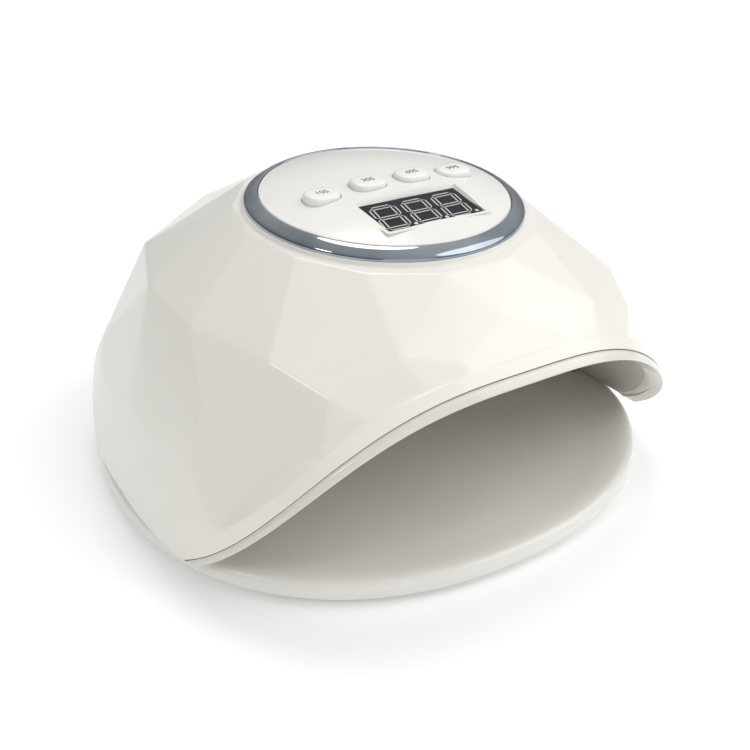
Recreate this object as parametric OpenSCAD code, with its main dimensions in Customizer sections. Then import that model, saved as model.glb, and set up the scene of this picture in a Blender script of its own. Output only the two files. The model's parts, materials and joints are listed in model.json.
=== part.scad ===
/* [Hood] */
// Full width of the hood at its foot
hood_w = 200; // [190:2:210]
// Full depth of the hood at its foot
hood_d = 220; // [210:2:230]
// Height of the dome's crown above the table
hood_top = 109; // [105:1:112]
// Thickness of the outer shell
wall = 2.4; // [2:0.1:3]
// Number of facets in each row round the hood
facet_steps = 14; // [12:2:16]

/* [Opening] */
// Half width of the arch at its foot
arch_half_w = 95.5; // [95:0.5:96]
// Height of the arch's top above the table
arch_top = 70; // [66:1:72]
// Thickness of the frame at the arch's top
frame_wall = 3.3; // [3:0.1:4]

/* [Panel] */
// Radius of the chrome ring
ring_r = 47.5; // [47:0.1:48]
// Forward tilt of the panel in degrees
panel_tilt = 4.8; // [4:0.2:6]
// Rise of the panel's crown
crown = 5; // [4:0.5:6]
// Distance that a button travels
button_travel = 0.4; // [0.3:0.1:0.5]

/* [Base] */
// Full width of the base plate
base_w = 202; // [200:1:204]
// Reach of the base plate in front of the hood's centre
base_front = 95; // [93:1:97]
// Reach of the base plate behind the hood's centre
base_rear = 105; // [100:1:107]
// Height of the rubber feet
foot_h = 2; // [1.5:0.5:2.5]

/* [Hidden] */

$fn = 64;
gap = 0.3;
far = 400;
hood_exp = 2.5;
plate_exp = 2.2;
rise_exp = 2.2;
floor_z = 10;
plate_top = 9.8;

// Dome
dome_sides = 72;
dome_rings = 18;

// Panel frame: origin at the middle of the ring's seat plane
panel_y = -10;
panel_z = 101;
seat_z = -2;
opening_r = 38;
panel_r = ring_r - 5;
panel_edge_z = 1;
cover_t = 2;

// Facet corners: collar under the ring, waist half way down, girdle above the skirt
collar_half_w = 50.5;
collar_half_d = 53;
collar_drop = 3.5;
waist_z = 75;
waist_lift = 8;
waist_rear_lift = 14;
girdle_z = 46;
girdle_front_lift = 30;
girdle_rear_lift = 8;
// Reach of the lowest facets past the girdle, which takes them clear of the dome
facet_run = 60;
// Smooth lip between the lowest facets and the arch
lip = 3;

// Inner frame behind the arch
arch_exp = 2.8;
arch_soft = 0.95;
vault_half_d = 89.5;
vault_top = 103;
chamber_half_w = 94;
chamber_half_d = 85;
// Behind the arch the vault draws in from the shell, and its wall thickens
vault_inset = 0.9;
chamber_inset = 3;
leg_boss_r = 2.4;
leg_boss_h = 4;

// Control board and what stands on it, in the panel frame
board_r = 37;
board_t = 1.6;
board_top = -7;
button_y = -2.5;
button_pitch = 17.2;
button_size = [13.5, 10.5];
button_corner = 4.4;
button_proud = 1.8;
flange = 0.8;
switch_h = 3.5;
plunger_r = 1.7;
plunger_top = -1.6;
display_y = -22.3;
display_size = [37.6, 19, 7];
window_size = [36, 17.6, 1.4];
window_top = 2.2;
well_wall = 2.2;

// Light boards: size and place of each on the vault
top_board = [46, 124];
top_board_y = -9;
side_board = [26, 90];
side_board_x = 62;
side_board_tilt = 38.2;
rear_board = [64, 14];
rear_board_tilt = 15;
post_inset = 3.5;
post_r = 2.2;
post_h = 3.4;
led_r = 3.2;
led_len = 6;
led_hole_r = 3.6;

// Inlet
inlet_z = 24;
inlet_face_y = 109;
inlet_r = 7.4;
mouth_r = 3.1;
mouth_len = 3;
socket_r = 2.85;
socket_len = 6.5;

screw_r = 1.2;
screw_play = 0.1;

// ---- curves ----

function plan_radius(turn, half_w, half_d, plan_exp) =
    1 / pow(pow(abs(sin(turn)) / half_w, plan_exp) + pow(abs(cos(turn)) / half_d, plan_exp), 1 / plan_exp);

function rise_factor(z, top) = pow(1 - pow(max(z, 0) / top, rise_exp), 1 / rise_exp);

// A point on a dome: turn 0 is the front, and turn 90 is the right
function dome_point(turn, z, half_w, half_d, top) =
    let (r = plan_radius(turn, half_w, half_d, hood_exp) * rise_factor(z, top))
    [r * sin(turn), -r * cos(turn), z];

// The hood's centre lies ahead of the middle of the whole lamp, which is the origin
hood_y = (base_front - hood_d / 2 * rise_factor(floor_z, hood_top)) / 2;

function hood_point(turn, z) = dome_point(turn, z, hood_w / 2, hood_d / 2, hood_top);

// Height of a point of the tilted panel plane
function panel_plane_z(y) = panel_z + tan(panel_tilt) * (y - panel_y);

function collar_point(turn) =
    let (r = 1 / norm([sin(turn) / collar_half_w, cos(turn) / collar_half_d]),
        y = panel_y - r * cos(turn))
    [r * sin(turn), y, panel_plane_z(y) - collar_drop];

// The waist lifts over the middle of the arch, and more gently towards the back
function waist_height(turn) =
    waist_z + waist_lift * pow(max(0, cos(turn)), 8) + waist_rear_lift * pow(max(0, -cos(turn)), 4);

// The girdle follows the arch up in front, and rises a little behind
function girdle_height(turn) =
    girdle_z + (cos(turn) > 0 ? girdle_front_lift * cos(turn) : -girdle_rear_lift * cos(turn));

step = 360 / facet_steps;

function collar(i) = collar_point((i + 0.5) * step);
function waist(i) = hood_point(i * step, waist_height(i * step));
function girdle(i) = let (turn = (i + 0.5) * step) hood_point(turn, girdle_height(turn));

// Outward normal of the lowest facet under a waist corner
function facet_normal(i) = cross(girdle(i) - waist(i), girdle(i - 1) - waist(i));

// Two neighbouring lowest facets run on past the girdle corner between them
function run_out(i) =
    let (along = cross(facet_normal(i), facet_normal(i + 1)), down = along[2] > 0 ? -1 : 1)
    girdle(i) + down * facet_run * along / norm(along);

facet_corners = [for (i = [0 : facet_steps - 1]) each [collar(i), waist(i), girdle(i), run_out(i)]];

// Half of the arch's outline, from its foot to its top
function arch_height(x, half_w, top) =
    floor_z + (top - floor_z) * pow(1 - pow(min(abs(x) / half_w, 1), arch_exp), arch_soft);

function plate_point(turn, inset) =
    let (half_d = (cos(turn) > 0 ? base_front : base_rear) - inset,
        r = plan_radius(turn, base_w / 2 - inset, half_d, plate_exp))
    [r * sin(turn), -r * cos(turn)];

// ---- shared shapes ----

module at_hood() {
    translate([0, hood_y, 0])
        children();
}

module on_panel() {
    at_hood()
        translate([0, panel_y, panel_z])
            rotate([panel_tilt, 0, 0])
                children();
}

module dome(half_w, half_d, top) {
    last = dome_sides - 1;
    levels = [for (j = [0 : dome_rings]) top * sin(88 * j / dome_rings)];
    points = [for (z = levels) for (k = [0 : last]) dome_point(360 * k / dome_sides, z, half_w, half_d, top)];
    sides = [for (j = [0 : dome_rings - 1]) for (k = [0 : last])
        let (a = j * dome_sides, b = a + dome_sides, next = (k + 1) % dome_sides)
        [a + k, b + k, b + next, a + next]];
    bottom = [for (k = [0 : last]) k];
    lid = [for (k = [last : -1 : 0]) dome_rings * dome_sides + k];
    polyhedron(points = points, faces = concat([bottom], sides, [lid]), convexity = 4);
}

module gem() {
    hull()
        for (p = facet_corners)
            translate(p)
                cube(0.02, center = true);
}

// The faceted hood as a solid, its surface moved in by an inset
module hood_blank(inset) {
    intersection() {
        dome(hood_w / 2 - inset, hood_d / 2 - inset, hood_top - inset);
        union() {
            scale(1 - inset / (hood_w / 2))
                gem();
            arch_prism(arch_half_w + lip - inset, arch_top + lip - inset, -far / 2, 0);
        }
        above_floor();
    }
}

module above_floor() {
    translate([-far / 2, -far / 2, floor_z])
        cube([far, far, far]);
}

module arch_outline(half_w, top) {
    steps = 24;
    polygon(concat([[half_w, 0]],
        [for (k = [0 : 2 * steps])
            let (x = half_w * cos(90 * k / steps))
            [x, arch_height(x, half_w, top)]],
        [[-half_w, 0]]));
}

// The arch as a prism from y0 to y1
module arch_prism(half_w, top, y0, y1) {
    translate([0, y1, 0])
        rotate([90, 0, 0])
            linear_extrude(y1 - y0)
                arch_outline(half_w, top);
}

// The space under an arch, open in front and closed by a dome behind
module vault(half_w, half_d, top, inset) {
    arch_prism(half_w, top, -far / 2, 0);
    intersection() {
        arch_prism(half_w, top, -1, far / 2);
        dome(half_w - inset, half_d, vault_top);
    }
}

module rounded_rect(size, corner) {
    square([size[0] - 2 * corner, size[1]], center = true);
    square([size[0], size[1] - 2 * corner], center = true);
    for (x = [-1, 1])
        for (y = [-1, 1])
            translate([x * (size[0] / 2 - corner), y * (size[1] / 2 - corner)])
                circle(corner);
}

// A screw along z: its head seats just under 0
module screw(length, head_r, head_h) {
    translate([0, 0, -head_h / 2])
        cylinder(h = length + head_h / 2, r = screw_r);
    translate([0, 0, -head_h])
        cylinder(h = head_h - 0.02, r = head_r);
}

function button_x(i) = (i - 1.5) * button_pitch;

// ---- places of repeated pieces ----

cover_screw_turns = [140, 166, 194, 220];
magnet_leg_places = [[-92.5, -16], [92.5, -16]];
magnet_rear_places = [[-14, 98], [14, 98]];
magnet_places = concat(magnet_leg_places, magnet_rear_places);
magnet_r = 1.5;
magnet_h = 2;
foot_places = [[-66, -58], [66, -58], [-68, 66], [68, 66]];
foot_r = 7;
panel_screw_turns = [45, 135, 225, 315];
board_screw_places = [[-26, -17], [26, -17], [-22, 20], [22, 20]];
top_led_places = [for (y = [-44 : 22 : 44]) for (x = [-16, 0, 16]) [x, y]];
side_led_places = [for (y = [-36 : 24 : 36]) for (x = [-7, 7]) [x, y]];
rear_led_places = [[-24, 0], [-8, 0], [8, 0], [24, 0]];
sensor_places = [[-6, -63], [6, -63]];
sensor_r = 2.4;

module at_leg_magnets() {
    for (p = magnet_leg_places)
        translate([p[0], p[1], floor_z])
            children();
}

module at_cover_screws() {
    for (turn = cover_screw_turns) {
        p = dome_point(turn, 0, hood_w / 2 - wall - 5, hood_d / 2 - wall - 5, hood_top);
        translate([p[0], p[1], 0])
            children();
    }
}

module at_panel_screws() {
    for (turn = panel_screw_turns)
        rotate([0, 0, turn])
            translate([panel_r - 2.2, 0, 0])
                children();
}

module at_board_screws() {
    for (p = board_screw_places)
        translate([p[0], p[1], 0])
            children();
}

// Frames of the four light boards: z leaves the chamber, and 0 is the board's lower face
module on_top_board() {
    translate([0, 0, arch_top + 0.3])
        children();
}

module on_side_board(side) {
    translate([side * side_board_x, 0, arch_height(side_board_x, arch_half_w, arch_top)])
        rotate([0, side * side_board_tilt, 0])
            translate([0, 0, 0.9])
                children();
}

module on_rear_board() {
    translate([0, 86.2, 36])
        rotate([rear_board_tilt - 90, 0, 0])
            children();
}

module at_corners(size) {
    for (x = [-1, 1])
        for (y = [-1, 1])
            translate([x * (size[0] / 2 - post_inset), y * (size[1] / 2 - post_inset), 0])
                children();
}

module at_posts() {
    on_top_board()
        translate([0, top_board_y, 0])
            at_corners(top_board)
                children();
    for (side = [-1, 1])
        on_side_board(side)
            at_corners(side_board)
                children();
    on_rear_board()
        at_corners(rear_board)
            children();
}

module at_leds() {
    on_top_board()
        for (p = top_led_places)
            translate([p[0], p[1], 0])
                children();
    for (side = [-1, 1])
        on_side_board(side)
            for (p = side_led_places)
                translate([p[0], p[1], 0])
                    children();
    on_rear_board()
        for (p = rear_led_places)
            translate([p[0], p[1], 0])
                children();
}

// ---- base ----

module plate_slab(inset, z0, z1) {
    translate([0, 0, z0])
        linear_extrude(z1 - z0)
            polygon([for (k = [0 : 95]) plate_point(360 * k / 96, inset)]);
}

module base_plate() {
    rim_w = 10;
    color("white")
        at_hood()
            difference() {
                union() {
                    plate_slab(1.2, foot_h - 0.2, 3.4);
                    plate_slab(0, 3.4, 8.2);
                    plate_slab(1.4, 8.2, plate_top);
                }
                plate_slab(rim_w, plate_top - 1, far);
                for (p = magnet_places)
                    translate([p[0], p[1], plate_top - magnet_h - 0.3])
                        cylinder(h = far, r = magnet_r + 0.05);
                for (p = foot_places)
                    translate([p[0], p[1], 0])
                        cylinder(h = foot_h + 0.8, r = foot_r + 0.05);
            }
}

module base_magnets() {
    color("silver")
        at_hood()
            for (p = magnet_places)
                translate([p[0], p[1], plate_top - magnet_h - 0.2])
                    cylinder(h = magnet_h, r = magnet_r);
}

module rubber_feet() {
    color("dimgray")
        at_hood()
            for (p = foot_places)
                translate([p[0], p[1], 0])
                    cylinder(h = foot_h + 0.7, r = foot_r);
}

// ---- hood ----

module neck() {
    translate([0, panel_y, panel_z])
        rotate([panel_tilt, 0, 0])
            rotate_extrude()
                polygon([[opening_r, -6], [opening_r, seat_z], [ring_r + 0.3, seat_z],
                    [ring_r + 0.5, -2.6], [ring_r + 1, -3.1], [ring_r + 1.8, -3.4],
                    [ring_r + 3, -collar_drop], [ring_r + 3, -6]]);
}

module screw_bosses() {
    intersection() {
        at_cover_screws()
            translate([0, 0, floor_z + 2.7])
                cylinder(h = 60, r = 3.6);
        hood_blank(wall / 2);
    }
}

module outer_shell() {
    foot_w = hood_w * rise_factor(floor_z, hood_top);
    color("white")
        at_hood()
            resize([foot_w, 0, 0])
                difference() {
                    union() {
                        difference() {
                            hood_blank(0);
                            hood_blank(wall);
                        }
                        neck();
                        screw_bosses();
                    }
                    arch_prism(arch_half_w, arch_top, -far / 2, 0);
                    translate([0, panel_y, panel_z])
                        rotate([panel_tilt, 0, 0]) {
                            translate([0, 0, -20])
                                cylinder(h = 60, r = opening_r);
                            at_panel_screws()
                                translate([0, 0, -9])
                                    cylinder(h = 20, r = screw_r + screw_play, $fn = 24);
                        }
                    at_cover_screws()
                        cylinder(h = floor_z + 12, r = screw_r + screw_play, $fn = 24);
                    translate([0, 100, inlet_z])
                        rotate([-90, 0, 0])
                            cylinder(h = 20, r = inlet_r + 0.1);
                }
}

// Trim strip under the shell's edge, and the vault that lines the hand chamber
module inner_frame() {
    color("gainsboro")
        at_hood()
            resize([2 * (arch_half_w - gap), 0, 0])
                difference() {
                    intersection() {
                        union() {
                            vault(arch_half_w - gap, vault_half_d, arch_top - gap, vault_inset);
                            at_posts()
                                translate([0, 0, -post_h])
                                    cylinder(h = post_h, r = post_r, $fn = 20);
                        }
                        dome(hood_w / 2 - 0.1, hood_d / 2 - 0.1, hood_top);
                        above_floor();
                    }
                    difference() {
                        vault(chamber_half_w, chamber_half_d, arch_top - frame_wall, chamber_inset);
                        at_leg_magnets()
                            cylinder(h = leg_boss_h, r = leg_boss_r, $fn = 24);
                    }
                    at_leds()
                        translate([0, 0, -14])
                            cylinder(h = 20, r = led_hole_r, $fn = 20);
                    on_top_board()
                        for (p = sensor_places)
                            translate([p[0], p[1], -14])
                                cylinder(h = 20, r = sensor_r + gap, $fn = 20);
                    at_posts()
                        translate([0, 0, -post_h + 0.6])
                            cylinder(h = post_h, r = screw_r + screw_play, $fn = 16);
                    at_leg_magnets()
                        translate([0, 0, -1])
                            cylinder(h = magnet_h + 1.2, r = magnet_r + 0.1, $fn = 20);
                }
}

module bottom_cover() {
    color("white")
        at_hood()
            difference() {
                translate([0, 0, floor_z])
                    linear_extrude(2.5)
                        difference() {
                            polygon([for (k = [0 : 95])
                                let (p = dome_point(360 * k / 96, floor_z + 2.5,
                                    hood_w / 2 - wall - 0.6, hood_d / 2 - wall - 0.6, hood_top - wall))
                                [p[0], p[1]]]);
                            polygon([for (k = [0 : 95])
                                let (p = dome_point(360 * k / 96, 0, arch_half_w, vault_half_d + 0.6, hood_top))
                                [p[0], p[1]]]);
                            translate([-far / 2, -far])
                                square([far, far + 58]);
                        }
                at_cover_screws() {
                    cylinder(h = far, r = screw_r + screw_play);
                    cylinder(h = floor_z + 1.3, r = 2.6);
                }
                for (p = magnet_rear_places)
                    translate([p[0], p[1], 0])
                        cylinder(h = floor_z + magnet_h + 0.1, r = magnet_r + 0.05);
            }
}

module cover_screws() {
    color("silver")
        at_hood()
            at_cover_screws()
                translate([0, 0, floor_z + 1.3])
                    screw(9, 2.4, 1.1);
}

module hood_magnets() {
    color("silver")
        at_hood()
            for (p = magnet_places)
                translate([p[0], p[1], floor_z + 0.1])
                    cylinder(h = magnet_h - 0.05, r = magnet_r);
}

// ---- panel ----

// Height of the crowned panel at a radius
function crown_z(r) = panel_edge_z + crown * (1 - pow(r / panel_r, 2.4));

// A lens shape from a floor up to the crown, out to a radius and lowered by a drop
module crown_solid(radius, floor_level, drop) {
    steps = 12;
    line = [for (k = [0 : steps]) let (r = radius * k / steps) [r, crown_z(r) - drop]];
    rotate_extrude()
        polygon(concat(line, [[radius, floor_level], [0, floor_level]]));
}

module control_panel() {
    color("white")
        on_panel()
            difference() {
                union() {
                    difference() {
                        crown_solid(panel_r, seat_z, 0);
                        crown_solid(panel_r - 5, seat_z - 5, cover_t);
                    }
                    intersection() {
                        crown_solid(panel_r - 1, seat_z - 5, 0.5);
                        union() {
                            at_board_screws()
                                translate([0, 0, board_top])
                                    cylinder(h = 20, r = 2.6);
                            translate([0, display_y, window_top - window_size[2] - 0.8])
                                linear_extrude(10)
                                    square([window_size[0] + 2 * well_wall, window_size[1] + 2 * well_wall],
                                        center = true);
                        }
                    }
                }
                for (i = [0 : 3])
                    translate([button_x(i), button_y, -1])
                        linear_extrude(20)
                            rounded_rect(button_size + [2 * gap, 2 * gap], button_corner + gap);
                translate([0, display_y, window_top - window_size[2]])
                    linear_extrude(20)
                        square([window_size[0] + 0.2, window_size[1] + 0.2], center = true);
                translate([0, display_y, -4])
                    linear_extrude(20)
                        square([window_size[0] - 2, window_size[1] - 2], center = true);
                at_board_screws()
                    translate([0, 0, board_top - 1])
                        cylinder(h = 6, r = screw_r + screw_play);
                at_panel_screws()
                    translate([0, 0, seat_z - 1])
                        cylinder(h = 3, r = screw_r + screw_play);
            }
}

module chrome_ring() {
    color("lightslategray")
        on_panel()
            rotate_extrude()
                polygon([[panel_r + 0.15, seat_z], [ring_r, seat_z], [ring_r, -1.2],
                    [ring_r - 0.6, -0.5], [panel_r + 0.9, 1.3], [panel_r + 0.15, 1.2]]);
}

module panel_screws() {
    color("silver")
        on_panel()
            at_panel_screws()
                translate([0, 0, -6])
                    screw(5.8, 2, 1);
}

module display_window() {
    color("black")
        on_panel()
            translate([0, display_y, window_top - window_size[2] + 0.05])
                linear_extrude(window_size[2] - 0.05)
                    square([window_size[0], window_size[1]], center = true);
}

module display_module() {
    color("dimgray")
        on_panel()
            translate([-display_size[0] / 2, display_y - display_size[1] / 2, board_top])
                cube(display_size);
}

module control_board() {
    color("seagreen")
        on_panel()
            difference() {
                translate([0, 0, board_top - board_t])
                    cylinder(h = board_t, r = board_r);
                at_board_screws()
                    translate([0, 0, board_top - 5])
                        cylinder(h = 10, r = screw_r + screw_play);
            }
}

module board_screws() {
    color("silver")
        on_panel()
            at_board_screws()
                translate([0, 0, board_top - board_t])
                    screw(6, 2.2, 1.2);
}

module board_connectors() {
    color("ivory")
        on_panel()
            for (x = [-14, 0, 14])
                translate([x - 4, 18, board_top - board_t - 5])
                    cube([8, 5, 5]);
}

module tact_switches() {
    color("dimgray")
        on_panel()
            for (i = [0 : 3])
                translate([button_x(i), button_y, board_top])
                    difference() {
                        translate([-3, -3, 0])
                            cube([6, 6, switch_h]);
                        translate([0, 0, 1.2])
                            cylinder(h = 10, r = plunger_r + gap);
                    }
}

// The cap stands proud of the crown, and a flange under the cover keeps it in
module button(i) {
    cap_top = crown_z(norm([button_x(i), button_y])) + button_proud;
    flange_top = crown_z(abs(button_x(i)) + button_size[0] / 2 + 2) - cover_t - gap;
    color("white")
        on_panel()
            translate([button_x(i), button_y, 0]) {
                translate([0, 0, cap_top - 1])
                    linear_extrude(1)
                        rounded_rect(button_size - [1, 1], button_corner - 0.5);
                translate([0, 0, flange_top - 0.5])
                    linear_extrude(cap_top - flange_top)
                        rounded_rect(button_size, button_corner);
                translate([0, 0, flange_top - 1])
                    linear_extrude(1)
                        rounded_rect(button_size + [2 * flange, 2 * flange], button_corner + flange);
                translate([0, 0, plunger_top])
                    cylinder(h = flange_top - plunger_top - 0.5, r = 2);
            }
}

module plunger(i) {
    color("black")
        on_panel()
            translate([button_x(i), button_y, board_top + 1.2 + button_travel + 0.1])
                cylinder(h = plunger_top - board_top - 1.3 - button_travel, r = plunger_r);
}

// ---- lights ----

module light_board(size) {
    difference() {
        translate([-size[0] / 2, -size[1] / 2, 0])
            cube([size[0], size[1], board_t]);
        at_corners(size)
            translate([0, 0, -1])
                cylinder(h = board_t + 2, r = screw_r + screw_play);
    }
}

module top_led_board() {
    color("seagreen")
        at_hood()
            on_top_board()
                translate([0, top_board_y, 0])
                    light_board(top_board);
}

module left_led_board() {
    color("seagreen")
        at_hood()
            on_side_board(-1)
                light_board(side_board);
}

module right_led_board() {
    color("seagreen")
        at_hood()
            on_side_board(1)
                light_board(side_board);
}

module rear_led_board() {
    color("seagreen")
        at_hood()
            on_rear_board()
                light_board(rear_board);
}

module light_board_screws() {
    color("silver")
        at_hood()
            at_posts()
                translate([0, 0, board_t])
                    mirror([0, 0, 1])
                        screw(board_t + 2.4, 2.2, 1.2);
}

module uv_leds() {
    color("lavender")
        at_hood()
            at_leds()
                mirror([0, 0, 1]) {
                    cylinder(h = led_len - 1.4, r = led_r, $fn = 24);
                    translate([0, 0, led_len - 1.41])
                        cylinder(h = 1.4, r1 = led_r, r2 = led_r * 0.55, $fn = 24);
                }
}

module hand_sensor() {
    color("black")
        at_hood()
            on_top_board()
                for (p = sensor_places)
                    translate([p[0], p[1], -led_len + 1])
                        cylinder(h = led_len - 1, r = sensor_r);
}

// ---- inlet ----

// Inlet frame: z points out of the hood's back, and 0 is the face of the inlet
module at_inlet() {
    at_hood()
        translate([0, inlet_face_y, inlet_z])
            rotate([-90, 0, 0])
                children();
}

module dc_inlet() {
    color("black")
        at_inlet()
            difference() {
                union() {
                    translate([0, 0, -4.5])
                        cylinder(h = 4.5, r = inlet_r);
                    translate([0, 0, -14])
                        cylinder(h = 10, r = 5.6);
                }
                translate([0, 0, -mouth_len])
                    cylinder(h = far, r = mouth_r);
                translate([0, 0, -mouth_len - socket_len])
                    cylinder(h = far, r = socket_r);
                translate([0, 0, -12])
                    cylinder(h = far, r = 1.05);
            }
}

module inlet_pin() {
    color("silver")
        at_inlet()
            translate([0, 0, -12])
                cylinder(h = 8, r = 1);
}

module lead(points, r) {
    for (k = [0 : len(points) - 2])
        hull() {
            translate(points[k])
                sphere(r, $fn = 12);
            translate(points[k + 1])
                sphere(r, $fn = 12);
        }
}

module inlet_leads() {
    color("firebrick")
        at_hood()
            for (x = [-3, 3])
                lead([[x, 94, inlet_z], [x, 91.4, 34], [x, 85, 54], [x, 70, 77], [x, 40, 80], [x, 10, 88]], 0.8);
}

base_plate();
base_magnets();
rubber_feet();
outer_shell();
inner_frame();
bottom_cover();
cover_screws();
hood_magnets();
control_panel();
chrome_ring();
panel_screws();
display_window();
display_module();
control_board();
board_screws();
board_connectors();
tact_switches();
button(0);  // button_10s
button(1);  // button_30s
button(2);  // button_60s
button(3);  // button_99s
plunger(0);  // plunger_10s
plunger(1);  // plunger_30s
plunger(2);  // plunger_60s
plunger(3);  // plunger_99s
top_led_board();
left_led_board();
right_led_board();
rear_led_board();
light_board_screws();
uv_leds();
hand_sensor();
dc_inlet();
inlet_pin();
inlet_leads();
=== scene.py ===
import json
import math

import bmesh
import bpy
import numpy as np
from mathutils import Matrix, Vector


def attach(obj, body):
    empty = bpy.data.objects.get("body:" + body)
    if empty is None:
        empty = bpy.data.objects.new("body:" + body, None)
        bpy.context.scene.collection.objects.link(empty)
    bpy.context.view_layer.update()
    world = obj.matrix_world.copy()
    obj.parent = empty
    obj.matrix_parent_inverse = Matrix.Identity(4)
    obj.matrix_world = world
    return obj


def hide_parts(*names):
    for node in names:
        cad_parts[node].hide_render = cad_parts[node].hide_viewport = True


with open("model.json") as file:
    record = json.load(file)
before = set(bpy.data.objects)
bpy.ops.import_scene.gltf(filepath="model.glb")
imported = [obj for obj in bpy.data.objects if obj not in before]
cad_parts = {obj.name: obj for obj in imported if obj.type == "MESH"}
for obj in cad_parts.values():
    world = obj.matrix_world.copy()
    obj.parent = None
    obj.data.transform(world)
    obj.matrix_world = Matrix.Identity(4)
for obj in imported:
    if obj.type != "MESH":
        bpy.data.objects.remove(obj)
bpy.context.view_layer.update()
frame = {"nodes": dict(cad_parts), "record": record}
MM = 0.001

# ---------------------------------------------------------------- dimensions, in millimetres and degrees

HOOD_W, HOOD_D, HOOD_TOP, WALL = 100.0, 110.0, 109.0, 2.4
FACETS = 14
HOOD_EXP, PLATE_EXP, RISE_EXP = 2.5, 2.2, 2.2
FLOOR = 10.0
ARCH_W, ARCH_TOP, ARCH_EXP, ARCH_SOFT, LIP = 95.5, 70.0, 2.8, 0.95, 3.0
RING_R, TILT, PANEL_Y, PANEL_Z = 47.5, math.radians(4.8), -10.0, 101.0
PANEL_R, EDGE_Z, CROWN = 42.5, 1.0, 5.0
BASE_W, BASE_FRONT, BASE_REAR, FOOT = 101.0, 95.0, 105.0, 2.0
CHAMBER_W, VAULT_W, VAULT_D, VAULT_TOP, FRAME_WALL = 94.0, 91.0, 85.0, 103.0, 3.3
BUTTON_Y, PITCH, DISPLAY_Y, WINDOW_TOP = -2.5, 17.2, -22.3, 2.2
WINDOW_W, WINDOW_H, WELL_SLOPE, WINDOW_LEAN = 36.0, 17.6, 0.62, 0.08
CAP_W, CAP_H, CAP_CORNER, CAP_GAP, CAP_PROUD = 12.2, 9.4, 4.0, 0.3, 1.8

# Facet corners: collar under the ring, waist half way down, girdle above the foot
COLLAR_W, COLLAR_D, COLLAR_DROP = 50.5, 53.0, 3.5
WAIST_Z, WAIST_FRONT_LIFT, WAIST_REAR_LIFT = 75, 8, 14
GIRDLE_Z, GIRDLE_FRONT_LIFT, GIRDLE_REAR_LIFT, FACET_RUN = 46, 30, 8, 60

# Hole for the power inlet, in the rear of the shell
INLET_Z, INLET_R = 24.0, 6.6

# Light boards
TOP_BOARD_Z, SIDE_BOARD_X, SIDE_BOARD_TILT, SIDE_BOARD_GAP = 70.3, 62.0, 38.2, 0.9
REAR_BOARD_Y, REAR_BOARD_Z, REAR_BOARD_TILT = 86.2, 36.0, 15.0

# Camera: its place from the hood's own centre, its direction in degrees, and its lens in millimetres
CAMERA_X, CAMERA_Y, CAMERA_Z = -165.4, -268.5, 201.2
CAMERA_AZIMUTH, CAMERA_ELEVATION, CAMERA_LENS, SENSOR_W = -32.0, 28.95, 45.1248, 36.0


def rise(z):
    """How much of its plan size the dome keeps at a height."""
    return (1 - (np.maximum(z, 0) / HOOD_TOP) ** RISE_EXP) ** (1 / RISE_EXP)


HOOD_Y = (BASE_FRONT - HOOD_D * rise(FLOOR)) / 2


def plan_radius(turn, half_w, half_d, power):
    """Radius of a squared-off oval at a turn from the front."""
    a, b = np.abs(np.sin(turn)) / half_w, np.abs(np.cos(turn)) / half_d
    return (a ** power + b ** power) ** (-1 / power)


def hood_point(turn, z):
    r = plan_radius(turn, HOOD_W, HOOD_D, HOOD_EXP) * rise(z)
    return np.array([r * math.sin(turn), -r * math.cos(turn), z])


def arch_height(x, half_w=ARCH_W, top=ARCH_TOP):
    """Height of the arch over a place left or right of the middle."""
    return FLOOR + (top - FLOOR) * (1 - np.minimum(np.abs(x) / half_w, 1) ** ARCH_EXP) ** ARCH_SOFT


def panel_to_hood(points):
    """From the tilted panel's own frame to the hood's."""
    p = np.asarray(points, float)
    c, s = math.cos(TILT), math.sin(TILT)
    y = PANEL_Y + c * p[..., 1] - s * p[..., 2]
    z = PANEL_Z + s * p[..., 1] + c * p[..., 2]
    return np.stack([p[..., 0], y, z], -1)


def crown_z(r):
    return EDGE_Z + CROWN * (1 - (r / PANEL_R) ** 2.4)


# ---------------------------------------------------------------- mesh helpers


def link(name, mesh):
    obj = bpy.data.objects.new(name, mesh)
    bpy.context.scene.collection.objects.link(obj)
    return obj


def solid_mesh(name, points, faces, weld):
    """A mesh from points in hood millimetres, with its faces turned outwards."""
    p = np.asarray(points, float).reshape(-1, 3) + [0, HOOD_Y, 0]
    mesh = bpy.data.meshes.new(name)
    mesh.from_pydata((p * MM).tolist(), [], faces)
    bm = bmesh.new()
    bm.from_mesh(mesh)
    if weld:
        bmesh.ops.remove_doubles(bm, verts=bm.verts, dist=1e-7)
    bmesh.ops.recalc_face_normals(bm, faces=bm.faces)
    bm.to_mesh(mesh)
    bm.free()
    return mesh


def make(name, points, faces, body, slot, material, sharp=35.0):
    """A piece that rides a body, smooth apart from edges over the sharp angle."""
    mesh = solid_mesh(name, points, faces, True)
    obj = link(name, mesh)
    shade(mesh, sharp)
    mesh.materials.append(material)
    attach(obj, body)
    return obj


def shade(mesh, sharp):
    bm = bmesh.new()
    bm.from_mesh(mesh)
    for f in bm.faces:
        f.smooth = True
    for e in bm.edges:
        e.smooth = not (len(e.link_faces) == 2 and e.calc_face_angle(0) > math.radians(sharp))
    bm.to_mesh(mesh)
    bm.free()


def grid_faces(rows, columns, closed):
    last = columns if closed else columns - 1
    return [
        (i * columns + k, i * columns + (k + 1) % columns,
         (i + 1) * columns + (k + 1) % columns, (i + 1) * columns + k)
        for i in range(rows - 1)
        for k in range(last)
    ]


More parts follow.
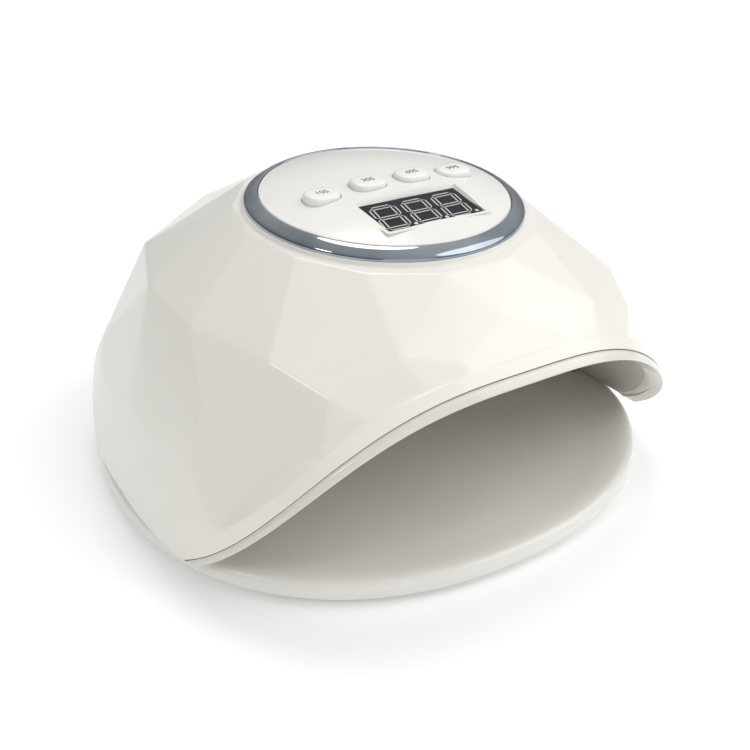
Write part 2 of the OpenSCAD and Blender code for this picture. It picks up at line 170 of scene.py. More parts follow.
def loft(loops, caps=(False, False)):
    """Points and faces through closed loops of equal length; a cap closes an end with one face."""
    loops = np.asarray(loops, float)
    rows, columns = loops.shape[:2]
    faces = grid_faces(rows, columns, True)
    if caps[0]:
        faces.append(tuple(range(columns)))
    if caps[1]:
        faces.append(tuple((rows - 1) * columns + k for k in range(columns)))
    return loops.reshape(-1, 3), faces


def bevel(obj, width, angle=40.0, segments=3):
    m = obj.modifiers.new("bevel", "BEVEL")
    m.width, m.segments, m.limit_method, m.angle_limit = width * MM, segments, "ANGLE", math.radians(angle)


def solidify(obj, thickness, offset=-1.0):
    m = obj.modifiers.new("solid", "SOLIDIFY")
    m.thickness, m.offset, m.use_even_offset = thickness * MM, offset, False


def bake(obj, sharp=35.0):
    """Applies the modifiers and shades the result."""
    dg = bpy.context.evaluated_depsgraph_get()
    mesh = bpy.data.meshes.new_from_object(obj.evaluated_get(dg))
    obj.modifiers.clear()
    obj.data = mesh
    shade(mesh, sharp)


def cut(obj, points, faces):
    """Takes the closed shape given in hood millimetres out of obj."""
    tool = link("tool", solid_mesh("tool", points, faces, False))
    m = obj.modifiers.new("cut", "BOOLEAN")
    m.operation, m.solver, m.object = "DIFFERENCE", "EXACT", tool
    bpy.context.view_layer.update()
    bake(obj)
    bpy.data.objects.remove(tool)


def rounded_rect(w, h, r, z, cx=0.0, cy=0.0, n=10):
    """A loop round a rectangle with arc corners, in the panel's own frame."""
    r = min(r, w / 2 - 1e-3, h / 2 - 1e-3)
    pts = []
    for quarter, (sx, sy) in enumerate([(1, 1), (-1, 1), (-1, -1), (1, -1)]):
        for j in range(n + 1):
            a = math.pi / 2 * (quarter + j / n)
            pts.append((cx + sx * (w / 2 - r) + r * math.cos(a), cy + sy * (h / 2 - r) + r * math.sin(a), z))
    return pts


# ---------------------------------------------------------------- materials


def new_material(name):
    m = bpy.data.materials.new(name)
    m.use_nodes = True
    return m, m.node_tree, m.node_tree.nodes["Principled BSDF"]


def object_noise(tree, scale, detail=3.0):
    coord = tree.nodes.new("ShaderNodeTexCoord")
    noise = tree.nodes.new("ShaderNodeTexNoise")
    noise.inputs["Scale"].default_value = scale
    noise.inputs["Detail"].default_value = detail
    noise.inputs["Roughness"].default_value = 0.5
    tree.links.new(coord.outputs["Object"], noise.inputs["Vector"])
    return noise


def ramp_between(tree, source, low, high):
    ramp = tree.nodes.new("ShaderNodeValToRGB")
    start, end = ramp.color_ramp.elements
    start.position, end.position = 0.35, 0.65
    start.color, end.color = (*low, 1), (*high, 1)
    tree.links.new(source, ramp.inputs["Fac"])
    return ramp.outputs["Color"]


def plastic(name, low, high, roughness, tone_scale=18.0, grain=900.0, bump=0.02, coat=0.0, edge_highlight=0.0):
    """Moulded plastic: a slow drift of tone, a fine surface grain, uneven gloss, and, where asked, a painted
    highlight that whitens sharp convex edges.
    """
    m, tree, bsdf = new_material(name)
    tone = object_noise(tree, tone_scale)
    colour = ramp_between(tree, tone.outputs["Fac"], low, high)
    # Painted highlight: sharp convex edges, found by Pointiness, are mixed towards near-white.
    if edge_highlight > 0:
        geometry = tree.nodes.new("ShaderNodeNewGeometry")
        highlight_mask = tree.nodes.new("ShaderNodeMapRange")
        highlight_mask.inputs["From Min"].default_value, highlight_mask.inputs["From Max"].default_value = 0.52, 0.60
        tree.links.new(geometry.outputs["Pointiness"], highlight_mask.inputs["Value"])
        highlight_mix = tree.nodes.new("ShaderNodeMix")
        highlight_mix.data_type = "RGBA"
        scale = tree.nodes.new("ShaderNodeMath")
        scale.operation = "MULTIPLY"
        scale.inputs[1].default_value = edge_highlight
        tree.links.new(highlight_mask.outputs["Result"], scale.inputs[0])
        tree.links.new(scale.outputs["Value"], highlight_mix.inputs["Factor"])
        tree.links.new(colour, highlight_mix.inputs[6])
        highlight_mix.inputs[7].default_value = (0.98, 0.98, 0.97, 1)
        colour = highlight_mix.outputs[2]
    tree.links.new(colour, bsdf.inputs["Base Color"])
    fine = object_noise(tree, grain, 2.0)
    gloss = tree.nodes.new("ShaderNodeMapRange")
    gloss.inputs["To Min"].default_value = roughness * 0.85
    gloss.inputs["To Max"].default_value = roughness * 1.15
    tree.links.new(tone.outputs["Fac"], gloss.inputs["Value"])
    tree.links.new(gloss.outputs["Result"], bsdf.inputs["Roughness"])
    bump_node = tree.nodes.new("ShaderNodeBump")
    bump_node.inputs["Strength"].default_value = bump
    bump_node.inputs["Distance"].default_value = 0.0002
    tree.links.new(fine.outputs["Fac"], bump_node.inputs["Height"])
    tree.links.new(bump_node.outputs["Normal"], bsdf.inputs["Normal"])
    bsdf.inputs["Coat Weight"].default_value = coat
    bsdf.inputs["Coat Roughness"].default_value = 0.08
    return m


def metal(name, low, high, roughness, tone_scale=60.0, bump=0.01):
    m = plastic(name, low, high, roughness, tone_scale, 1500.0, bump)
    m.node_tree.nodes["Principled BSDF"].inputs["Metallic"].default_value = 1.0
    return m


# The shell's facet edges get the painted highlight, a whitening along sharp edges.
shell_white = plastic("shell_white", (0.84, 0.815, 0.755), (0.865, 0.84, 0.785), 0.30, 9.0, 1400.0, 0.02,
                      coat=0.22, edge_highlight=0.25)
panel_white = plastic("panel_white", (0.84, 0.82, 0.78), (0.88, 0.86, 0.83), 0.24, 14.0, 1400.0, 0.02, 0.4)
button_white = plastic("button_white", (0.84, 0.83, 0.79), (0.88, 0.87, 0.84), 0.28, 30.0, 1600.0, 0.03, 0.3)
trim_pearl = plastic("trim_pearl", (0.70, 0.67, 0.62), (0.76, 0.73, 0.68), 0.26, 12.0, 1400.0, 0.03, 0.4)
# The frame's pearl plastic made darker grey: painted shade for the inside of the hand chamber.
chamber_painted_shade = plastic("chamber_painted_shade", (0.60, 0.57, 0.53), (0.68, 0.65, 0.60), 0.38, 16.0, 1400.0, 0.04, 0.15)
base_pearl = plastic("base_pearl", (0.79, 0.77, 0.725), (0.84, 0.82, 0.775), 0.30, 10.0, 1400.0, 0.03, 0.3)
# Real chrome, with its colour darkened and tinted blue-grey and drifting between two tones: a painted
# reflection of a dim surround.
chrome = metal("chrome", (0.24, 0.27, 0.30), (0.33, 0.37, 0.41), 0.06)
steel = metal("zinc_steel", (0.50, 0.50, 0.49), (0.62, 0.62, 0.60), 0.28, 300.0, 0.1)
nickel = metal("nickel", (0.60, 0.58, 0.55), (0.68, 0.66, 0.62), 0.16, 200.0, 0.05)
smoked = plastic("smoked_acrylic", (0.010, 0.010, 0.014), (0.018, 0.018, 0.024), 0.40, 40.0, 1500.0, 0.01)
segment_grey = plastic("segment_grey", (0.58, 0.58, 0.55), (0.66, 0.66, 0.63), 0.35, 200.0, 1500.0, 0.02)
label_grey = plastic("label_grey", (0.045, 0.045, 0.05), (0.07, 0.07, 0.075), 0.5, 300.0, 2500.0, 0.05)
dark_plastic = plastic("dark_plastic", (0.018, 0.018, 0.020), (0.030, 0.030, 0.033), 0.42, 60.0, 1800.0, 0.08)
board_white = plastic("board_white", (0.62, 0.64, 0.60), (0.70, 0.71, 0.67), 0.45, 60.0, 1200.0, 0.05)
nylon = plastic("nylon", (0.66, 0.62, 0.50), (0.73, 0.69, 0.58), 0.45, 90.0, 1500.0, 0.05)
# Grey rubber for the feet; the same dark material also makes the painted shadow strip in the seam.
dark_rubber_and_painted_shadow = plastic("rubber_grey", (0.050, 0.050, 0.052), (0.080, 0.080, 0.083), 0.75, 120.0, 2500.0, 0.25)
red_jacket = plastic("red_jacket", (0.30, 0.015, 0.012), (0.40, 0.025, 0.018), 0.4, 120.0, 1500.0, 0.05)
lens = plastic("led_lens", (0.52, 0.50, 0.66), (0.66, 0.64, 0.78), 0.08, 300.0, 1500.0, 0.01, 0.6)
sensor_dark = plastic("sensor_dark", (0.02, 0.012, 0.016), (0.035, 0.020, 0.026), 0.10, 120.0, 1500.0, 0.01,
                      coat=0.5)

smoked.node_tree.nodes["Principled BSDF"].inputs["Specular IOR Level"].default_value = 0.12

by_slot = {
    "shell_plastic": shell_white, "frame_plastic": trim_pearl, "base_plastic": base_pearl,
    "panel_plastic": panel_white, "button_plastic": button_white, "chrome_trim": chrome,
    "window_acrylic": smoked, "display_plastic": dark_plastic, "circuit_board": board_white,
    "connector_plastic": nylon, "switch_plastic": dark_plastic, "led_lens": lens, "sensor_lens": sensor_dark,
    "steel": steel, "magnet_plate": nickel, "rubber_grey": dark_rubber_and_painted_shadow, "lead_jacket": red_jacket,
}
for part in frame["record"]["subparts"]:
    node = frame["nodes"][part["node"]]
    node.data.materials.clear()
    node.data.materials.append(by_slot[part["material_slot"]])

# ---------------------------------------------------------------- faceted shell

step = 2 * math.pi / FACETS


def collar(i):
    t = (i + 0.5) * step
    r = 1 / math.hypot(math.sin(t) / COLLAR_W, math.cos(t) / COLLAR_D)
    y = PANEL_Y - r * math.cos(t)
    return np.array([r * math.sin(t), y, PANEL_Z + math.tan(TILT) * (y - PANEL_Y) - COLLAR_DROP])


def waist(i):
    c = math.cos(i * step)
    lift = WAIST_FRONT_LIFT * max(0, c) ** 8 + WAIST_REAR_LIFT * max(0, -c) ** 4
    return hood_point(i * step, WAIST_Z + lift)


def girdle(i):
    t = (i + 0.5) * step
    c = math.cos(t)
    return hood_point(t, GIRDLE_Z + (GIRDLE_FRONT_LIFT * c if c > 0 else -GIRDLE_REAR_LIFT * c))


def facet_normal(i):
    return np.cross(girdle(i) - waist(i), girdle(i - 1) - waist(i))


def run_out(i):
    along = np.cross(facet_normal(i), facet_normal(i + 1))
    return girdle(i) + FACET_RUN * along / np.linalg.norm(along) * (-1 if along[2] > 0 else 1)


def facet_planes():
    bm = bmesh.new()
    for i in range(FACETS):
        for corner in (collar(i), waist(i), girdle(i), run_out(i)):
            bm.verts.new(corner)
    bmesh.ops.convex_hull(bm, input=bm.verts)
    bm.normal_update()
    planes = []
    for f in bm.faces:
        n = np.array(f.normal)
        d = float(n @ np.array(f.verts[0].co))
        if n[2] > -0.2 and not any(n @ m > 0.99999 and abs(d - e) < 0.01 for m, e in planes):
            planes.append((n, d))
    bm.free()
    return np.array([n for n, d in planes]), np.array([d for n, d in planes])


NORMALS, OFFSETS = facet_planes()
EDGE_SOFT, LIP_SOFT = 0.09, 0.3


def smooth_max(values, soft):
    peak = values.max(-1)
    return peak + soft * np.log(np.exp((values - peak[..., None]) / soft).sum(-1))


def gauge(p):
    plan = (np.abs(p[..., 0]) / HOOD_W) ** HOOD_EXP + (np.abs(p[..., 1]) / HOOD_D) ** HOOD_EXP
    return (plan ** (RISE_EXP / HOOD_EXP) + (np.abs(p[..., 2]) / HOOD_TOP) ** RISE_EXP) ** (1 / RISE_EXP)


def hood_field(p):
    """Below zero inside the hood: the facets and the lip along the arch, both kept within the dome."""
    dome = (gauge(p) - 1) * 100
    gem = smooth_max(p @ NORMALS.T - OFFSETS, EDGE_SOFT)
    x = p[..., 0]
    top = arch_height(x, ARCH_W + LIP, ARCH_TOP + LIP)
    slope = (arch_height(np.abs(x) + 0.5, ARCH_W + LIP, ARCH_TOP + LIP) - top) / 0.5
    lip = np.maximum((p[..., 2] - top) / np.sqrt(1 + slope ** 2), p[..., 1] + 2)
    body = -smooth_max(np.stack([-gem, -lip], -1), LIP_SOFT)
    return smooth_max(np.stack([dome, body], -1), EDGE_SOFT)


def surface_along(rays):
    """Where rays from the hood's own origin leave it."""
    t = 1 / gauge(rays)
    probe, least_rise = 0.05, 0.012
    for _ in range(7):
        f = hood_field(rays * t[..., None])
        g = hood_field(rays * (t + probe)[..., None])
        t = t - f * probe / np.maximum(g - f, least_rise)
    return rays * t[..., None]


def ray(turn, lift):
    return np.stack([np.sin(turn) * np.cos(lift), -np.cos(turn) * np.cos(lift), np.sin(lift)], -1)


COLUMNS, ROWS, NECK_R, NECK_Z = 900, 190, 48.7, -3.5
turns = np.arange(COLUMNS) * 2 * math.pi / COLUMNS
low, high = np.full(COLUMNS, math.radians(1.0)), np.full(COLUMNS, math.radians(62.0))
for _ in range(26):
    mid = (low + high) / 2
    p = surface_along(ray(turns, mid))
    seam = np.where(p[:, 1] < 0, arch_height(p[:, 0]), FLOOR)
    above = p[:, 2] > seam
    high, low = np.where(above, mid, high), np.where(above, low, mid)
edge_rays = ray(turns, high)


def shell_circle(r, z):
    """A circle round the panel's axis, one point for each column of the shell."""
    return panel_to_hood(np.stack([r * np.sin(turns), -r * np.cos(turns), np.full(COLUMNS, z)], -1))


neck = shell_circle(NECK_R, NECK_Z)
top_rays = neck / np.linalg.norm(neck, axis=-1, keepdims=True)
shares = np.linspace(0, 1, ROWS)[:, None, None]
rays = edge_rays * (1 - shares) + top_rays * shares
rays /= np.linalg.norm(rays, axis=-1, keepdims=True)
shell_rows = list(np.array([surface_along(row) for row in rays]))
# Turned-in edge under the ring, as radius and height in the panel's frame
neck_profile = [(48.25, -3.28), (47.95, -2.95), (47.82, -2.5), (47.75, -2.12), (47.55, -2.0),
                (45.0, -2.0), (38.0, -2.0)]
shell_rows += [shell_circle(r, z) for r, z in neck_profile]
shell_rows = np.array(shell_rows)
faces = grid_faces(len(shell_rows), COLUMNS, True)
flat = shell_rows.reshape(-1, 3)
centres = flat[np.array(faces)].mean(1)
inlet_hole = (centres[:, 1] > 80) & (np.hypot(centres[:, 0], centres[:, 2] - INLET_Z) < INLET_R)
shell = make("hood_shell", flat, [f for f, gone in zip(faces, inlet_hole) if not gone], "hood", "shell_plastic",
             shell_white, 60.0)
solidify(shell, WALL - 0.1)
bevel(shell, 0.35, 60.0)
bake(shell, 60.0)
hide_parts("outer_shell")

# ---------------------------------------------------------------- arch trim and hand chamber


def dome_y(x, z, half_w, half_d, top):
    """Depth of a dome at a place seen from the front."""
    room = (1 - (np.asarray(z) / top) ** RISE_EXP) ** (HOOD_EXP / RISE_EXP) - (np.abs(x) / half_w) ** HOOD_EXP
    return half_d * np.maximum(room, 0) ** (1 / HOOD_EXP)


def arch_line(half_w, top, n=120):
    """The arch from foot to foot as x and z."""
    share = np.linspace(-1, 1, 2 * n + 1)
    x = half_w * np.sin(share * math.pi / 2)
    return x, arch_height(x, half_w, top)


outer_x, outer_z = arch_line(ARCH_W - 0.7, ARCH_TOP - 0.7)
inner_x, inner_z = arch_line(CHAMBER_W, ARCH_TOP - FRAME_WALL)


def front_row(share, back=0.0):
    x = outer_x * (1 - share) + inner_x * share
    z = outer_z * (1 - share) + inner_z * share
    y = -dome_y(x, z, HOOD_W - 0.1, HOOD_D - 0.1, HOOD_TOP)
    return np.stack([x, y + back, z], -1)


trim_rows = [front_row(0, 9), front_row(0, 1.1), front_row(0.03, 0.55), front_row(0.1, 0.25)]
trim_rows += [front_row(s) for s in np.linspace(0.2, 0.85, 8)]
trim_rows += [front_row(0.93, 0.1), front_row(0.98, 0.4), front_row(1, 0.95), front_row(1, 4), front_row(1, 9)]
points = np.array(trim_rows)
trim = make("arch_trim", points, grid_faces(len(points), points.shape[1], False), "hood", "frame_plastic",
            trim_pearl, 50.0)
solidify(trim, 0.3, 0.0)
bake(trim, 50.0)

# Painted shadow in the seam between the shell's edge and the trim: a dark strip at the bottom of the groove
# stands in for the shade in the gap
gap_x, gap_z = arch_line(ARCH_W + 0.1, ARCH_TOP + 0.1)
gap_y = -dome_y(gap_x, gap_z, HOOD_W - 0.1, HOOD_D - 0.1, HOOD_TOP) + 0.8
points = np.array([np.stack([gap_x, gap_y, gap_z], -1), front_row(0.12, 0.8), front_row(0.12, 1.6)])
shadow_strip = make("seam_painted_shadow", points, grid_faces(3, points.shape[1], False), "hood", "rubber_grey",
              dark_rubber_and_painted_shadow, 50.0)
solidify(shadow_strip, 0.1, 0.0)
bake(shadow_strip, 50.0)

# Hand chamber: the roof runs back from the trim, turns a rounded corner, and the rear wall goes down
CORNER_REACH, CORNER_DROP, ROOF_ROWS, WALL_ROWS = 2.5, 2.0, 40, 24
start = front_row(1, 3)
end_y = dome_y(inner_x, inner_z, VAULT_W, VAULT_D, VAULT_TOP)
chamber_rows = []
for s in np.linspace(0, 1, ROOF_ROWS):
    row = start.copy()
    row[:, 1] = start[:, 1] * (1 - s) + np.maximum(end_y - CORNER_REACH, start[:, 1]) * s
    chamber_rows.append(row)
for drop in (0.4, 1.0, CORNER_DROP):
    z = np.maximum(inner_z - drop, FLOOR)
    y = dome_y(inner_x, z, VAULT_W, VAULT_D, VAULT_TOP)
    chamber_rows.append(np.stack([inner_x, y - CORNER_REACH * (1 - drop / 2.2) ** 2, z], -1))
for s in np.linspace(0.05, 1, WALL_ROWS):
    z = np.maximum(inner_z - CORNER_DROP, FLOOR) * (1 - s) + FLOOR * s
    chamber_rows.append(np.stack([inner_x, dome_y(inner_x, z, VAULT_W, VAULT_D, VAULT_TOP), z], -1))
points = np.array(chamber_rows)
# The chamber wears the darker grey copy of the frame plastic: painted shade inside the chamber.
chamber = make("hand_chamber", points, grid_faces(len(points), points.shape[1], False), "hood", "frame_plastic",
               chamber_painted_shade, 50.0)
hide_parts("inner_frame")

# ---------------------------------------------------------------- control panel


def turned(profile, name, body, slot, material, count=256, sharp=30.0, caps=(False, False)):
    a = np.arange(count) * 2 * math.pi / count
    loops = [panel_to_hood(np.stack([r * np.cos(a), r * np.sin(a), np.full(count, z)], -1)) for r, z in profile]
    points, faces = loft(loops, caps)
    return make(name, points, faces, body, slot, material, sharp)


top_profile = [(0.02, crown_z(0.0))] + [(r, crown_z(r)) for r in np.linspace(1.5, PANEL_R - 0.8, 34)]
rim = [(PANEL_R - 0.35, crown_z(PANEL_R - 0.5)), (PANEL_R, crown_z(PANEL_R) - 0.35), (PANEL_R, -2.0)]
under = [(PANEL_R - 5, -2.0)] + [(r, crown_z(r) - 2) for r in np.linspace(PANEL_R - 5, 1.5, 16)]
cover = turned(top_profile + rim + under + [(0.02, crown_z(0.0) - 2)], "panel_cover", "hood", "panel_plastic",
               panel_white, caps=(True, True))
hole_w, hole_h, hole_corner = CAP_W + 2 * CAP_GAP, CAP_H + 2 * CAP_GAP, CAP_CORNER + CAP_GAP
for i in range(4):
    x = (i - 1.5) * PITCH
    loops = [panel_to_hood(rounded_rect(hole_w, hole_h, hole_corner, z, x, BUTTON_Y)) for z in (-4, 12)]
    cut(cover, *loft(loops, (True, True)))


def well_loop(z, extra=0.0, corner=0.4):
    """The slanted well round the window, at one height."""
    grow = 2 * WELL_SLOPE * (z - WINDOW_TOP) + extra
    return panel_to_hood(rounded_rect(WINDOW_W + grow, WINDOW_H + grow, corner, z, 0, DISPLAY_Y, 4))


loops = [well_loop(z) for z in (-4, 9)]
cut(cover, *loft(loops, (True, True)))
bevel(cover, 0.3, 35.0)
bake(cover, 60.0)
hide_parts("control_panel")

outer_loops = [well_loop(z, 3, 1.0) for z in (0.2, 3.0)]
inner_loops = [well_loop(z) for z in (3.0, WINDOW_TOP, 0.2)]
points, faces = loft(outer_loops + inner_loops)
make("window_well", points, faces, "hood", "panel_plastic", panel_white, 40.0)

# Ring section as its distance out from the panel's edge, and its height
RING_W = RING_R - PANEL_R
ring_section = [(0.15, -2.0), (0.15, 0.95), (0.3, 1.22), (0.65, 1.33), (1.1, 1.27), (2.3, 0.72), (3.4, 0.18),
                (4.2, -0.32), (4.7, -0.75), (4.93, -1.15), (RING_W, -1.5), (RING_W, -1.95),
                (RING_W - 0.1, -2.0), (0.15, -2.0)]
ring_profile = [(PANEL_R + out, z) for out, z in ring_section]
ring = turned(ring_profile, "ring_trim", "hood", "chrome_trim", chrome, 384, 50.0)
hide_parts("chrome_ring")


def lean(points):
    """Lifts the back of the window, which follows the slope of the crown."""
    p = np.array(points, float)
    p[..., 2] += WINDOW_LEAN * (p[..., 1] - DISPLAY_Y + WINDOW_H / 2)
    return p


plate_sizes = [(37.4, 19.6, 0.9), (37.6, 19.8, WINDOW_TOP - 0.15), (37.5, 19.7, WINDOW_TOP)]
loops = [panel_to_hood(lean(rounded_rect(w, h, 0.5, z, 0, DISPLAY_Y, 4))) for w, h, z in plate_sizes]
window = make("window_plate", *loft(loops, (True, True)), "hood", "window_acrylic", smoked, 50.0)
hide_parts("display_window")

# Seven-segment digits: slanted bars with pointed ends, unlit
SEG_W, DIGIT_W, DIGIT_H, DIGIT_PITCH, SLANT = 1.9, 8.0, 14.2, 11.8, math.tan(math.radians(6))
segment_points, segment_faces = [], []


def bar(x0, y0, x1, y1, cx, z):
    """One pointed bar as an outline ring between two hexagons, so the middle stays dark."""
    length = math.hypot(x1 - x0, y1 - y0)
    ux, uy = (x1 - x0) / length, (y1 - y0) / length
    base = len(segment_points)
    for k in (1.0, 0.52):
        h = SEG_W / 2 * k
        gap = 0.25 + (1 - k) * 0.55
        far = length - gap
        shape = [(gap, 0), (gap + h, h), (far - h, h), (far, 0), (far - h, -h), (gap + h, -h)]
        for s, t in shape:
            x, y = x0 + ux * s - uy * t, y0 + uy * s + ux * t
            segment_points.append((cx + x + y * SLANT, DISPLAY_Y + y, z))
    for j in range(6):
        k = (j + 1) % 6
        segment_faces.append((base + j, base + k, base + 6 + k, base + 6 + j))


def dot(cx, cy, z, r=0.7, n=20):
    base = len(segment_points)
    for k in range(n):
        a = 2 * math.pi * k / n
        segment_points.append((cx + r * math.cos(a), cy + r * math.sin(a), z))
    segment_faces.append(tuple(range(base, base + n)))


glyph_z = WINDOW_TOP + 0.03
for digit in (-1, 0, 1):
    cx = digit * DIGIT_PITCH - 0.5
    w, h = DIGIT_W / 2, DIGIT_H / 2 - 0.4
    for x0, y0, x1, y1 in ((-w, h, w, h), (-w, 0, w, 0), (-w, -h, w, -h), (-w, 0, -w, h), (w, 0, w, h),
                           (-w, -h, -w, 0), (w, -h, w, 0)):
        bar(x0, y0, x1, y1, cx, glyph_z)
    dot(cx + w + 1.45, DISPLAY_Y - h + 0.1, glyph_z)
make("display_segments", panel_to_hood(lean(segment_points)), segment_faces, "hood", "display_plastic",
     segment_grey, 50.0)

# ---------------------------------------------------------------- buttons

LABEL_SIZE, LABEL_RAISE, LABEL_SPREAD = 3.3, 0.012, 0.02


def print_label(seconds, x, top):
    """The time printed on a cap, as a thin raised mesh that moves with the cap."""
    text = bpy.data.curves.new(f"label_{seconds}", "FONT")
    text.body, text.size, text.align_x, text.align_y = seconds + "S", LABEL_SIZE * MM, "CENTER", "CENTER"
    text.extrude, text.offset = LABEL_RAISE * MM, LABEL_SPREAD * MM
    maker = link("maker", text)
    bpy.context.view_layer.update()
    mesh = bpy.data.meshes.new_from_object(maker.evaluated_get(bpy.context.evaluated_depsgraph_get()))
    bpy.data.objects.remove(maker)
    place = panel_to_hood([x, BUTTON_Y, top + 0.02]) + [0, HOOD_Y, 0]
    mesh.transform(Matrix.Translation(Vector(place) * MM) @ Matrix.Rotation(TILT, 4, "X"))
    mesh.materials.clear()
    mesh.materials.append(label_grey)
    mark = link(f"label_{seconds}s", mesh)
    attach(mark, f"key_{seconds}s")


for i, label in enumerate(("10", "30", "60", "99")):
    x = (i - 1.5) * PITCH
    top = crown_z(math.hypot(x, BUTTON_Y)) + CAP_PROUD
    loops = []
    for inset, z in ((0, top - 6.5), (0, top - 1.3), (0.12, top - 0.8), (0.45, top - 0.36),
                     (1.0, top - 0.1), (1.9, top - 0.02), (3.0, top), (4.2, top)):
        corner = max(CAP_CORNER - inset, 0.3)
        loops.append(panel_to_hood(rounded_rect(CAP_W - 2 * inset, CAP_H - 2 * inset, corner, z, x, BUTTON_Y)))
    cap = make(f"cap_{label}s", *loft(loops, (True, True)), f"key_{label}s", "button_plastic",
               button_white, 60.0)
    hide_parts(f"button_{label}s")
    print_label(label, x, top)

# ---------------------------------------------------------------- base plate

PLATE_COLUMNS = 360
plate_turns = np.arange(PLATE_COLUMNS) * 2 * math.pi / PLATE_COLUMNS


def plate_loop(inset, z):
    """The plate's outline, drawn in by the inset, at one height."""
    half_d = np.where(np.cos(plate_turns) > 0, BASE_FRONT, BASE_REAR) - inset
    r = plan_radius(plate_turns, BASE_W - inset, half_d, PLATE_EXP)
    return np.stack([r * np.sin(plate_turns), -r * np.cos(plate_turns), np.full(PLATE_COLUMNS, z)], -1)


# Plate section from the underside round to the top, as inset from the outline and height
plate_profile = [(90, FOOT), (12, FOOT), (4.5, FOOT), (2.6, FOOT + 0.25), (1.2, FOOT + 0.9),
                 (0.35, FOOT + 1.9), (0, FOOT + 3.2),
                 (0, 6.6), (0.15, 7.6), (0.6, 8.6), (1.4, 9.3), (2.5, 9.65), (3.8, 9.8), (5.5, 9.78),
                 (8, 9.6), (11, 9.25), (14, 8.95), (18, 8.82), (24, 8.8), (60, 8.8), (90, 8.8)]
plate = make("plate_body", *loft([plate_loop(*row) for row in plate_profile], (True, True)), "base",
             "base_plastic", base_pearl, 50.0)
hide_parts("base_plate")

# ---------------------------------------------------------------- lamps


def board_frames():
    """Each light board's frame, and the places of its lamps."""
    yield Matrix.Translation((0, 0, TOP_BOARD_Z)), [(x, y) for y in range(-44, 45, 22) for x in (-16, 0, 16)]
    height = float(arch_height(SIDE_BOARD_X))
    for side in (-1, 1):
        place = Matrix.Translation((side * SIDE_BOARD_X, 0, height))
        tilt = Matrix.Rotation(math.radians(side * SIDE_BOARD_TILT), 4, "Y")
        yield (place @ tilt @ Matrix.Translation((0, 0, SIDE_BOARD_GAP)),
               [(x, y) for y in range(-36, 37, 24) for x in (-7, 7)])
    place = Matrix.Translation((0, REAR_BOARD_Y, REAR_BOARD_Z))
    tilt = Matrix.Rotation(math.radians(REAR_BOARD_TILT - 90), 4, "X")
    yield place @ tilt, [(x, 0) for x in (-24, -8, 8, 24)]


# Sections as radius and depth below the board
lens_profile = [(3.2, 0.0), (3.2, -4.3), (3.1, -4.75), (2.8, -5.2), (2.3, -5.6), (1.6, -5.85),
                (0.8, -5.97), (0.05, -6.0)]
holder_profile = [(3.3, -1.2), (4.3, -1.2), (4.3, -4.25), (4.1, -4.5), (3.7, -4.55), (3.3, -4.4), (3.3, -1.2)]
for name, profile, material, slot in (("lamp_lenses", lens_profile, lens, "led_lens"),
                                      ("lamp_holders", holder_profile, nickel, "magnet_plate")):
    points, faces = [], []
    for matrix, places in board_frames():
        for px, py in places:
            loops = [[(px + r * math.cos(a), py + r * math.sin(a), z) for a in np.arange(24) * math.pi / 12]
                     for r, z in profile]
            p, f = loft(loops)
            base = len(points)
            points += [tuple(matrix @ Vector(q)) for q in p]
            faces += [tuple(base + k for k in face) for face in f]
    piece = make(name, points, faces, "hood", slot, material, 40.0)
    if name == "lamp_lenses":
        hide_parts("uv_leds")

# ---------------------------------------------------------------- floor, light and camera

floor_mesh = bpy.data.meshes.new("floor")
floor_mesh.from_pydata([(-6, -6, 0), (6, -6, 0), (6, 6, 0), (-6, 6, 0)], [], [(0, 1, 2, 3)])
floor = link("floor", floor_mesh)
floor_material, _, floor_bsdf = new_material("floor_pale")
floor_bsdf.inputs["Base Color"].default_value = (0.96, 0.96, 0.96, 1)
floor_bsdf.inputs["Roughness"].default_value = 0.7
floor_bsdf.inputs["Emission Color"].default_value = (1, 1, 1, 1)
floor_bsdf.inputs["Emission Strength"].default_value = 0.12
floor_mesh.materials.append(floor_material)

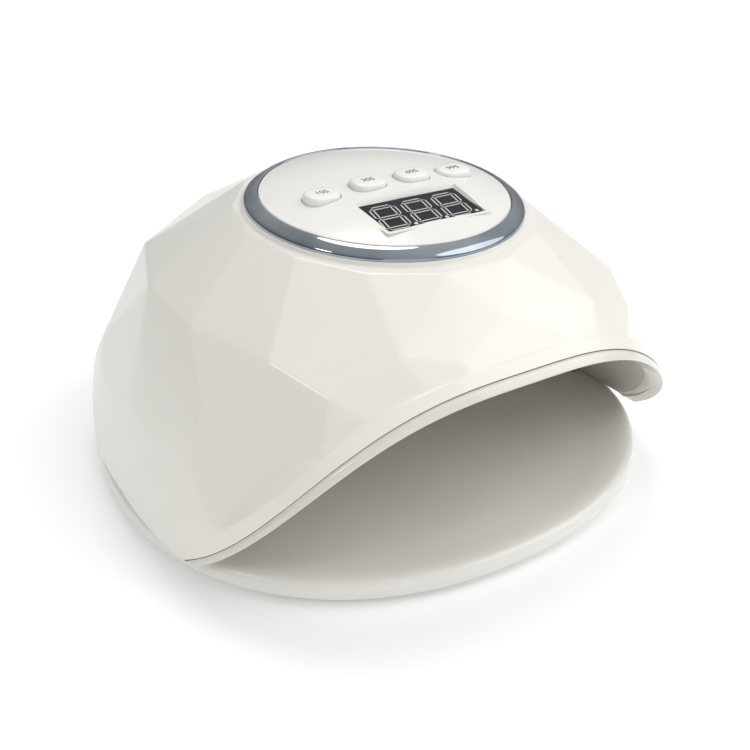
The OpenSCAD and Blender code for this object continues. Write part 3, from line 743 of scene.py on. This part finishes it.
world = bpy.data.worlds.new("studio")
bpy.context.scene.world = world
world.use_nodes = True
world_tree = world.node_tree
sky = world_tree.nodes.new("ShaderNodeTexCoord")
parts = world_tree.nodes.new("ShaderNodeSeparateXYZ")
world_tree.links.new(sky.outputs["Generated"], parts.inputs["Vector"])
glow = world_tree.nodes.new("ShaderNodeMath")
glow.operation = "MULTIPLY"
# Brighter to the right than to the left, and brighter above than at the horizon
drifts = (("X", -0.9, 0.9, 0.31, 0.76), ("Z", -0.05, 0.75, 0.36, 1.34))
for i, (axis, start, end, dim, bright) in enumerate(drifts):
    drift = world_tree.nodes.new("ShaderNodeMapRange")
    drift.inputs["From Min"].default_value, drift.inputs["From Max"].default_value = start, end
    drift.inputs["To Min"].default_value, drift.inputs["To Max"].default_value = dim, bright
    world_tree.links.new(parts.outputs[axis], drift.inputs["Value"])
    world_tree.links.new(drift.outputs["Result"], glow.inputs[i])
world_tree.links.new(glow.outputs["Value"], world_tree.nodes["Background"].inputs["Color"])
world_tree.nodes["Background"].inputs["Strength"].default_value = 1.0
bpy.context.scene.view_settings.view_transform = "Standard"


def direction(azimuth, elevation):
    """Unit vector towards a viewer or a light: azimuth 0 is the front, and 90 the right."""
    a, e = math.radians(azimuth), math.radians(elevation)
    return Vector((math.sin(a) * math.cos(e), -math.cos(a) * math.cos(e), math.sin(e)))


def sun(name, azimuth, elevation, strength, spread):
    """A broad soft light; the spread is its angle across."""
    light = bpy.data.lights.new(name, "SUN")
    light.energy, light.angle = strength, math.radians(spread)
    obj = link(name, light)
    obj.rotation_mode = "QUATERNION"
    obj.rotation_quaternion = direction(azimuth, elevation).to_track_quat("Z", "Y")


sun("key", 56, 38, 0.95, 50)
sun("top", 150, 66, 0.60, 24)
sun("left", -82, 40, 0.34, 12)
sun("fill", -12, 14, 0.24, 40)

camera_data = bpy.data.cameras.new("camera")
camera = link("camera", camera_data)
bpy.context.scene.camera = camera
camera_data.sensor_width = SENSOR_W
camera_data.lens = CAMERA_LENS
camera_data.clip_start, camera_data.clip_end = 0.02, 30
camera.location = Vector((CAMERA_X, CAMERA_Y + HOOD_Y, CAMERA_Z)) * MM
camera.rotation_mode = "QUATERNION"
camera.rotation_quaternion = direction(CAMERA_AZIMUTH, CAMERA_ELEVATION).to_track_quat("Z", "Y")
